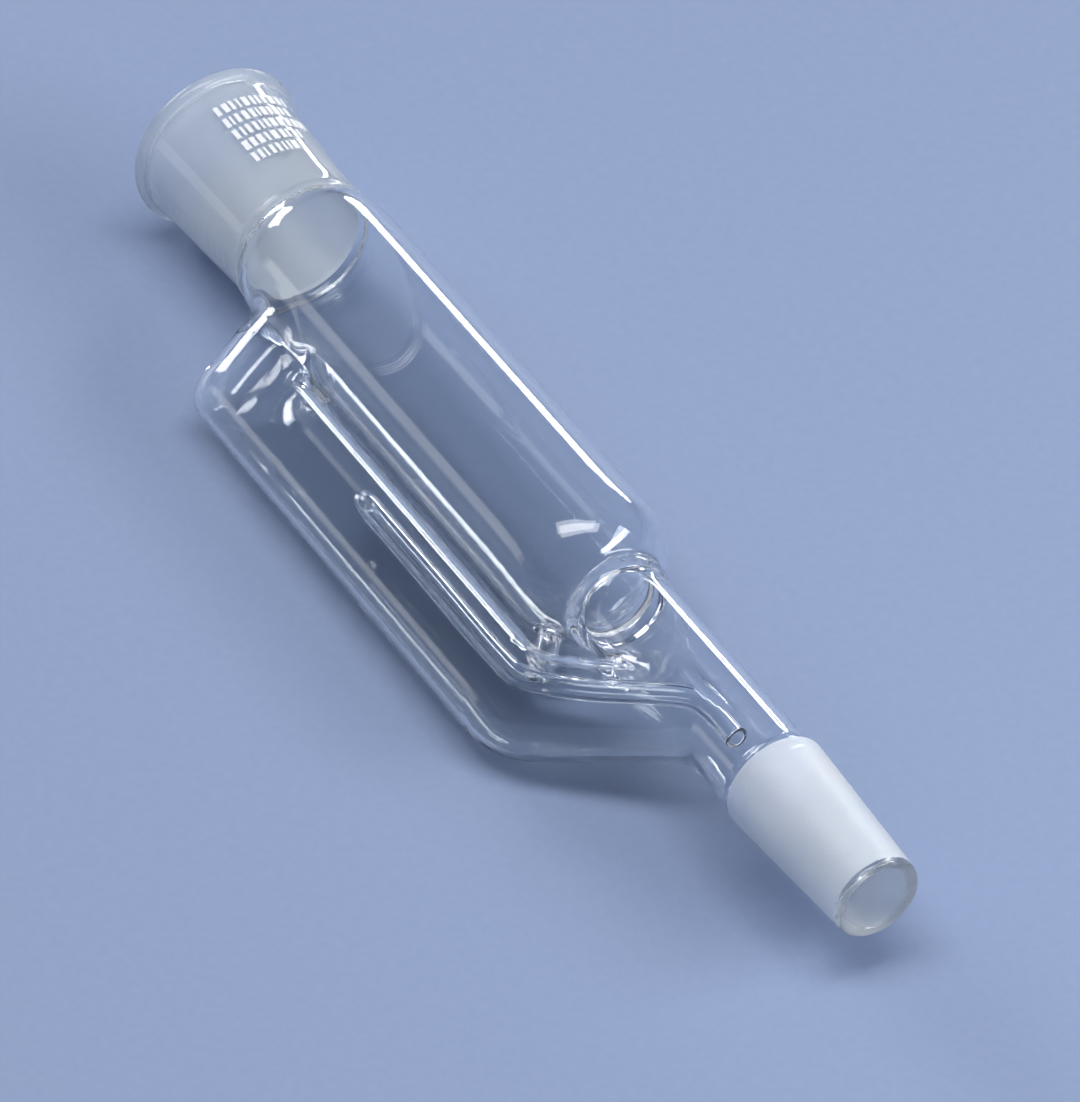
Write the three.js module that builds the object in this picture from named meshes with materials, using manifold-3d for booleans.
// Soxhlet extractor, small size: a fused borosilicate-glass laboratory extraction tube, lying on its side.
//
// Coordinates of the glass: x runs along the main axis, from the rim of the upper ground socket (x = 0)
// to the tip of the lower ground cone. Everything but the siphon's two legs is symmetric about one plane,
// the design plane; u is the distance from the main axis in that plane, towards the vapour side tube,
// and w is the distance out of that plane. All lengths are millimetres.
import * as THREE from 'three';
import { mergeVertices } from 'three/addons/utils/BufferGeometryUtils.js';
import Module from 'manifold-3d';

const wasm = await Module();
wasm.setup();

// ---- driving dimensions ---------------------------------------------------------------------------------
const GAP = 0.3;                    // clearance left between two pieces that are fused on the real object

// upper ground socket, size 34, with a beaded rim
const SOCKET_LENGTH = 41.5;
const BEAD_OD_RADIUS = 20.75;       // outside of the rolled rim
const SOCKET_TOP_RADIUS = 18.9;
const SOCKET_NECK_RADIUS = 17.0;
const GROUND_TOP_RADIUS = 17.25;    // 34.5 mm large end of the ground bore, taper 1:10
const GROUND_NECK_RADIUS = 15.3;

// extraction chamber
const CHAMBER_RADIUS = 19.0;
const CHAMBER_WALL = 1.6;
const CHAMBER_END = 178.6;          // outermost point of the closed round bottom

// lower stem and ground cone, size 24/40
const STEM_RADIUS = 11.0;
const STEM_WALL = 1.5;
const STEM_START = 178.2;
const STEM_END = 240.0;
const CONE_LARGE_RADIUS = 12.0;     // 24 mm large end, taper 1:10
const CONE_TIP_RADIUS = 9.95;
const CONE_END = 283.0;
const CONE_TIP_BORE = 7.1;

// vapour side tube, parallel to the chamber
const VAPOUR_RADIUS = 11.5;
const VAPOUR_WALL = 1.4;
const VAPOUR_U = 31.5;              // distance between the two tube axes
const VAPOUR_TOP = 71.1;            // where the top elbow's two axes meet
const VAPOUR_LOW = 186.6;           // where the lower arm's axis leaves the tube's axis
const TOP_SEAM = 86.0;              // weld between the top elbow and the straight run
const LOW_SEAM = 172.0;             // weld between the straight run and the lower arm
const ELBOW_END_X = 58.2;           // the elbow's axis reaches the chamber's axis here
const ARM_END_X = 219.0;            // the lower arm's axis reaches the stem's axis here
const ARM_END_RADIUS = 9.9;

// siphon of 5.2 mm tube
const SIPHON_RADIUS = 2.6;
const SIPHON_BORE = 1.7;

// printed marking on the socket
const MARK_START = 8.7;             // distance of the marking from the rim
const MARK_LENGTH = 22.0;
const MARK_ANGLE = 1.1;             // radians round the socket
const MARK_FACING = 0.995;          // angle of its middle from the side opposite the vapour tube
const MARK_THICKNESS = 0.25;

const SEGMENTS = 36;

// ---- helpers --------------------------------------------------------------------------------------------
// A closed, position-only mesh whose faces point out.
function closed(geometry) {
  let g = geometry.clone();
  g.deleteAttribute('normal');
  g.deleteAttribute('uv');
  g = mergeVertices(g, 1e-4);
  const p = g.attributes.position, index = g.index.array, kept = [];
  const a = new THREE.Vector3(), b = new THREE.Vector3(), c = new THREE.Vector3();
  let volume = 0;
  for (let i = 0; i < index.length; i += 3) {
    const [i0, i1, i2] = [index[i], index[i + 1], index[i + 2]];
    if (i0 === i1 || i1 === i2 || i2 === i0) continue;
    a.fromBufferAttribute(p, i0); b.fromBufferAttribute(p, i1); c.fromBufferAttribute(p, i2);
    volume += a.dot(b.clone().cross(c)) / 6;
    kept.push(i0, i1, i2);
  }
  if (volume < 0) for (let i = 0; i < kept.length; i += 3) [kept[i + 1], kept[i + 2]] = [kept[i + 2], kept[i + 1]];
  g.setIndex(kept);
  return g;
}

function solid(geometry) {
  const g = closed(geometry);
  return new wasm.Manifold(new wasm.Mesh({
    numProp: 3,
    vertProperties: new Float32Array(g.attributes.position.array),
    triVerts: new Uint32Array(g.index.array),
  }));
}

function geometryOf(manifold) {
  const m = manifold.getMesh();
  const g = new THREE.BufferGeometry();
  g.setAttribute('position', new THREE.BufferAttribute(new Float32Array(m.vertProperties), 3));
  g.setIndex(new THREE.BufferAttribute(new Uint32Array(m.triVerts), 1));
  g.computeVertexNormals();
  return g;
}

// A solid of revolution about the main axis from [x, r] pairs.
function turned(profile, segments = SEGMENTS) {
  const g = new THREE.LatheGeometry(profile.map(([x, r]) => new THREE.Vector2(r, x)), segments);
  g.rotateZ(-Math.PI / 2);
  return g;
}

const glassPoint = (x, u, w = 0) => new THREE.Vector3(x, -u, w);

// A round rod or cone frustum between two points.
function rod(from, to, r0, r1 = r0, segments = SEGMENTS) {
  const axis = to.clone().sub(from), length = axis.length();
  const g = new THREE.CylinderGeometry(r1, r0, length, segments);
  g.translate(0, length / 2, 0);
  g.applyQuaternion(new THREE.Quaternion().setFromUnitVectors(new THREE.Vector3(0, 1, 0), axis.normalize()));
  g.translate(from.x, from.y, from.z);
  return solid(g);
}

function ball(at, r) {
  const g = new THREE.SphereGeometry(r, 24, 16);
  g.rotateZ(-Math.PI / 2);
  g.translate(at.x, at.y, at.z);
  return solid(g);
}

// A box between two corners given as glass coordinates.
function block(lowX, highX, lowU, highU, halfW = 60) {
  const g = new THREE.BoxGeometry(highX - lowX, highU - lowU, 2 * halfW);
  g.translate((lowX + highX) / 2, -(lowU + highU) / 2, 0);
  return solid(g);
}

// A stretch of a longer curve, from arc-length fraction a to b.
class Stretch extends THREE.Curve {
  constructor(curve, a, b) { super(); this.curve = curve; this.a = a; this.b = b; }
  getPoint(t, target = new THREE.Vector3()) { return this.curve.getPointAt(this.a + (this.b - this.a) * t, target); }
}

function ringShape(outer, inner, sides) {
  const circle = (r) => Array.from({ length: sides }, (_, i) => new THREE.Vector2(
    r * Math.cos((2 * Math.PI * i) / sides), r * Math.sin((2 * Math.PI * i) / sides)));
  const shape = new THREE.Shape(circle(outer));
  if (inner) shape.holes.push(new THREE.Path(circle(inner).reverse()));
  return shape;
}

function sweep(curve, outer, inner, steps, sides = 12) {
  return new THREE.ExtrudeGeometry(ringShape(outer, inner, sides), { steps, extrudePath: curve, bevelEnabled: false });
}

// ---- the assembly ---------------------------------------------------------------------------------------
const glass = (roughness, opacity) => new THREE.MeshStandardMaterial({
  color: 0xe9f0f2, roughness, metalness: 0, transparent: true, opacity,
});
const CLEAR = glass(0.03, 0.35), GROUND = glass(0.6, 0.8);
const ENAMEL = new THREE.MeshStandardMaterial({ color: 0xf6f6f4, roughness: 0.5, metalness: 0 });

const apparatus = new THREE.Group();
function add(name, geometry, material) {
  const mesh = new THREE.Mesh(closed(geometry), material);
  mesh.name = name;
  apparatus.add(mesh);
}

// Upper socket: rolled rim outside, ground conical bore inside.
const bead = 1.95;
const rim = [];
for (let i = 0; i <= 6; i++) {
  const t = Math.PI * (i / 6);
  rim.push([bead - bead * Math.cos(t), BEAD_OD_RADIUS - bead + bead * Math.sin(t)]);
}
const socketProfile = [
  [0, GROUND_TOP_RADIUS + 0.75],
  ...rim,
  [6.0, SOCKET_TOP_RADIUS - 0.1],
  [SOCKET_LENGTH, SOCKET_NECK_RADIUS],
  [SOCKET_LENGTH, GROUND_NECK_RADIUS],
  [1.2, GROUND_TOP_RADIUS],
  [0, GROUND_TOP_RADIUS + 0.75],
];
add('socket_joint', turned(socketProfile), GROUND);

// Extraction chamber: neck shoulder, straight wall, closed round bottom.
const CS = SOCKET_LENGTH + GAP;
const outerBottom = [[162, 19.0], [166.5, 18.6], [170, 17.5], [173, 15.7], [175.4, 13.1], [177.2, 9.4], [178.2, 5.0], [CHAMBER_END, 0]];
const innerBottom = [[176.9, 0], [176.5, 4.6], [175.6, 8.5], [173.9, 12.0], [171.7, 14.4], [169, 16.0], [166, 17.0], [162, 17.4]];
const chamberOuter = turned([[CS, 0], [CS, SOCKET_NECK_RADIUS], [43.6, 17.5], [47, 18.4], [51.5, 18.9], [57, CHAMBER_RADIUS], ...outerBottom]);
const chamberInner = turned([[CS - 1, 0], [CS - 1, GROUND_NECK_RADIUS], [43.6, 15.7], [47, 16.7], [51.5, 17.3],
  [57, CHAMBER_RADIUS - CHAMBER_WALL], [162, CHAMBER_RADIUS - CHAMBER_WALL], ...innerBottom.slice(0, -1).reverse()]);

// The siphon's centre line, from inside the chamber's bottom to the end of the drip tube.
const NEAR = [28.2, 3.8], FAR = [26.3, -3.8];
const siphonPath = new THREE.CatmullRomCurve3([
  [169.5, 12.4, -3.0], [173.0, 15.6, -3.3], [177.2, 19.6, -3.7], [179.2, 23.0, -3.8], [177.4, 25.7, -3.8], [172, FAR[0], FAR[1]],
  [150, FAR[0], FAR[1]], [124, FAR[0], FAR[1]], [118.6, FAR[0] + 0.2, FAR[1] * 0.8], [115.8, (FAR[0] + NEAR[0]) / 2, 0],
  [118.6, NEAR[0] - 0.2, NEAR[1] * 0.8], [124, NEAR[0], NEAR[1]], [150, NEAR[0], NEAR[1]], [176, NEAR[0], NEAR[1]],
  [183, 27.2, 3.7], [188.2, 24.0, 3.4], [193.4, 19.8, 2.9], [198.4, 14.8, 2.2], [203.2, 9.4, 1.4], [207.6, 4.6, 0.7],
  [212, 1.2, 0.15], [217, 0.05, 0], [222, 0, 0], [227.5, 0, 0],
].map(([x, u, w]) => glassPoint(x, u, w)), false, 'centripetal');
siphonPath.arcLengthDivisions = 2000;
siphonPath.updateArcLengths();
const siphonLength = siphonPath.getLength();

// Arc-length fraction of the path where it first passes x, from the start or after a given fraction.
function fractionAt(x, after, rising) {
  for (let i = Math.round(after * 2000); i <= 2000; i++) {
    const p = siphonPath.getPointAt(i / 2000);
    if (rising ? p.x >= x : p.x <= x) return i / 2000;
  }
  return 1;
}
const topFraction = fractionAt(115.95, 0, false);
const riserStart = fractionAt(170, fractionAt(178.5, 0, true), false);
const riserEnd = fractionAt(126, riserStart, false);
const downStart = fractionAt(126, topFraction, true);
const downEnd = fractionAt(174, downStart, true);
const dripStart = fractionAt(214.5, downEnd, true);
const gapFraction = GAP / siphonLength;

const inletHole = solid(sweep(new Stretch(siphonPath, 0, riserStart * 0.9), SIPHON_RADIUS + GAP, 0, 12, 14));
const inletStart = 0.55 / siphonLength;

// Bore of the elbow and of the lower arm, used to open the walls they land on.
const elbowCorner = glassPoint(VAPOUR_TOP, VAPOUR_U), elbowEnd = glassPoint(ELBOW_END_X, 0);
const armCorner = glassPoint(VAPOUR_LOW, VAPOUR_U), armEnd = glassPoint(ARM_END_X, 0);
const inner = VAPOUR_RADIUS - VAPOUR_WALL;
const elbowBore = rod(elbowCorner, elbowEnd, inner - 1.4);
const armBore = rod(armCorner, armEnd, inner, ARM_END_RADIUS - VAPOUR_WALL);

add('extraction_chamber', geometryOf(
  solid(chamberOuter).subtract(solid(chamberInner)).subtract(elbowBore).subtract(inletHole)), CLEAR);

// Lower stem, with a thickened edge where it is sealed to the chamber's bottom.
const stemProfile = [
  [STEM_START + 0.6, STEM_RADIUS - STEM_WALL], [STEM_START - 0.9, 11.3], [STEM_START - 0.3, 12.1], [STEM_START + 1.1, 12.2], [STEM_START + 2.6, 11.3],
  [STEM_START + 4.2, STEM_RADIUS], [STEM_END, STEM_RADIUS], [STEM_END, STEM_RADIUS - STEM_WALL], [STEM_START + 0.6, STEM_RADIUS - STEM_WALL],
];
const chamberClearance = turned([[CS, 0], [CS, SOCKET_NECK_RADIUS], [43.6, 17.5], [57, CHAMBER_RADIUS + GAP],
  ...outerBottom.map(([x, r], i) => (i === outerBottom.length - 1 ? [x + GAP, 0] : [x + 0.25, r + 0.25]))]);
add('lower_stem', geometryOf(solid(turned(stemProfile)).subtract(solid(chamberClearance)).subtract(armBore)), CLEAR);

// Lower ground cone with a rounded tip.
add('cone_joint', turned([
  [STEM_END + GAP, STEM_RADIUS - STEM_WALL], [STEM_END + GAP, STEM_RADIUS], [STEM_END + 1.8, CONE_LARGE_RADIUS],
  [CONE_END - 0.9, CONE_TIP_RADIUS], [CONE_END, CONE_TIP_RADIUS - 0.7], [CONE_END, CONE_TIP_BORE + 0.5], [CONE_END - 0.6, CONE_TIP_BORE],
  [CONE_END - 10, CONE_TIP_BORE + 0.8], [STEM_END + GAP, STEM_RADIUS - STEM_WALL],
]), GROUND);

// Straight run of the vapour tube.
const straight = new THREE.LineCurve3(glassPoint(TOP_SEAM + GAP, VAPOUR_U), glassPoint(LOW_SEAM - GAP, VAPOUR_U));
add('vapour_tube', sweep(straight, VAPOUR_RADIUS, inner, 1, 32), CLEAR);

// Two tubes that meet at a corner, as one solid.
function elbow(start, corner, end, r0, r1) {
  return rod(start, corner, r0).add(ball(corner, r0)).add(rod(corner, end, r0, r1));
}
const topStart = glassPoint(TOP_SEAM, VAPOUR_U);
const chamberKeepOut = solid(turned([[30, 0], [30, 18], [SOCKET_LENGTH, SOCKET_NECK_RADIUS + GAP], [43.4, 17.8], [47, 18.7], [51.5, 19.2], [57, CHAMBER_RADIUS + GAP], [178, CHAMBER_RADIUS + GAP], [178, 0]]));
add('vapour_top_elbow', geometryOf(
  elbow(topStart, elbowCorner, elbowEnd, VAPOUR_RADIUS, VAPOUR_RADIUS - 1.4)
    .subtract(elbow(glassPoint(TOP_SEAM + 2, VAPOUR_U), elbowCorner, elbowEnd, inner, inner - 1.4))
    .subtract(chamberKeepOut)), CLEAR);

// Lower arm: bends out of the vapour tube and slants into the side of the stem.
const armStart = glassPoint(LOW_SEAM, VAPOUR_U);
const stemKeepOut = rod(glassPoint(182, 0), glassPoint(STEM_END + 4, 0), STEM_RADIUS + GAP);
add('vapour_lower_arm', geometryOf(
  elbow(armStart, armCorner, armEnd, VAPOUR_RADIUS, ARM_END_RADIUS)
    .subtract(elbow(glassPoint(LOW_SEAM - 2, VAPOUR_U), armCorner, armEnd, inner, ARM_END_RADIUS - VAPOUR_WALL))
    .subtract(stemKeepOut).subtract(inletHole)), CLEAR);

// Siphon, in the lengths it is joined from.
function siphon(name, a, b, steps) {
  add(name, sweep(new Stretch(siphonPath, a, b), SIPHON_RADIUS, SIPHON_BORE, steps), CLEAR);
}
siphon('siphon_inlet_bend', inletStart, riserStart - gapFraction / 2, 12);
siphon('siphon_riser', riserStart + gapFraction / 2, riserEnd - gapFraction / 2, 1);
siphon('siphon_top_bend', riserEnd + gapFraction / 2, downStart - gapFraction / 2, 14);
siphon('siphon_down_leg', downStart + gapFraction / 2, downEnd - gapFraction / 2, 1);
siphon('siphon_return_arm', downEnd + gapFraction / 2, dripStart - gapFraction / 2, 14);
siphon('drip_tube', dripStart + gapFraction / 2, 1, 2);

// Enamel marking: a thin curved patch just clear of the socket's outside.
const markProfile = [];
const markR = (x) => SOCKET_TOP_RADIUS - 0.1 + ((SOCKET_NECK_RADIUS - SOCKET_TOP_RADIUS + 0.1) * (x - 6)) / (SOCKET_LENGTH - 6) + 0.06;
markProfile.push([MARK_START, markR(MARK_START)], [MARK_START, markR(MARK_START) + MARK_THICKNESS], [MARK_START + MARK_LENGTH, markR(MARK_START + MARK_LENGTH) + MARK_THICKNESS],
  [MARK_START + MARK_LENGTH, markR(MARK_START + MARK_LENGTH)], [MARK_START, markR(MARK_START)]);
const markRing = solid(turned(markProfile, 72));
const wedge = new THREE.Shape([
  new THREE.Vector2(0, 0),
  new THREE.Vector2(40 * Math.cos(-MARK_ANGLE / 2), 40 * Math.sin(-MARK_ANGLE / 2)),
  new THREE.Vector2(40, 0),
  new THREE.Vector2(40 * Math.cos(MARK_ANGLE / 2), 40 * Math.sin(MARK_ANGLE / 2)),
]);
const wedgeGeometry = new THREE.ExtrudeGeometry(wedge, { depth: 60, bevelEnabled: false });
wedgeGeometry.rotateY(Math.PI / 2);          // depth now runs along x
wedgeGeometry.rotateX(Math.PI / 2 + MARK_FACING);
wedgeGeometry.translate(-5, 0, 0);
add('joint_marking', geometryOf(markRing.intersect(solid(wedgeGeometry))), ENAMEL);

// ---- placing: the apparatus lies on its rim bead and its vapour tube -------------------------------------
const lean = Math.asin((BEAD_OD_RADIUS - VAPOUR_RADIUS) / VAPOUR_U);
const lowY = -VAPOUR_U * Math.cos(lean) - VAPOUR_RADIUS, highY = BEAD_OD_RADIUS;
apparatus.rotation.x = lean;
apparatus.position.set(-CONE_END / 2, -(lowY + highY) / 2, BEAD_OD_RADIUS);

const extractor = new THREE.Group();
extractor.add(apparatus);
export default extractor;
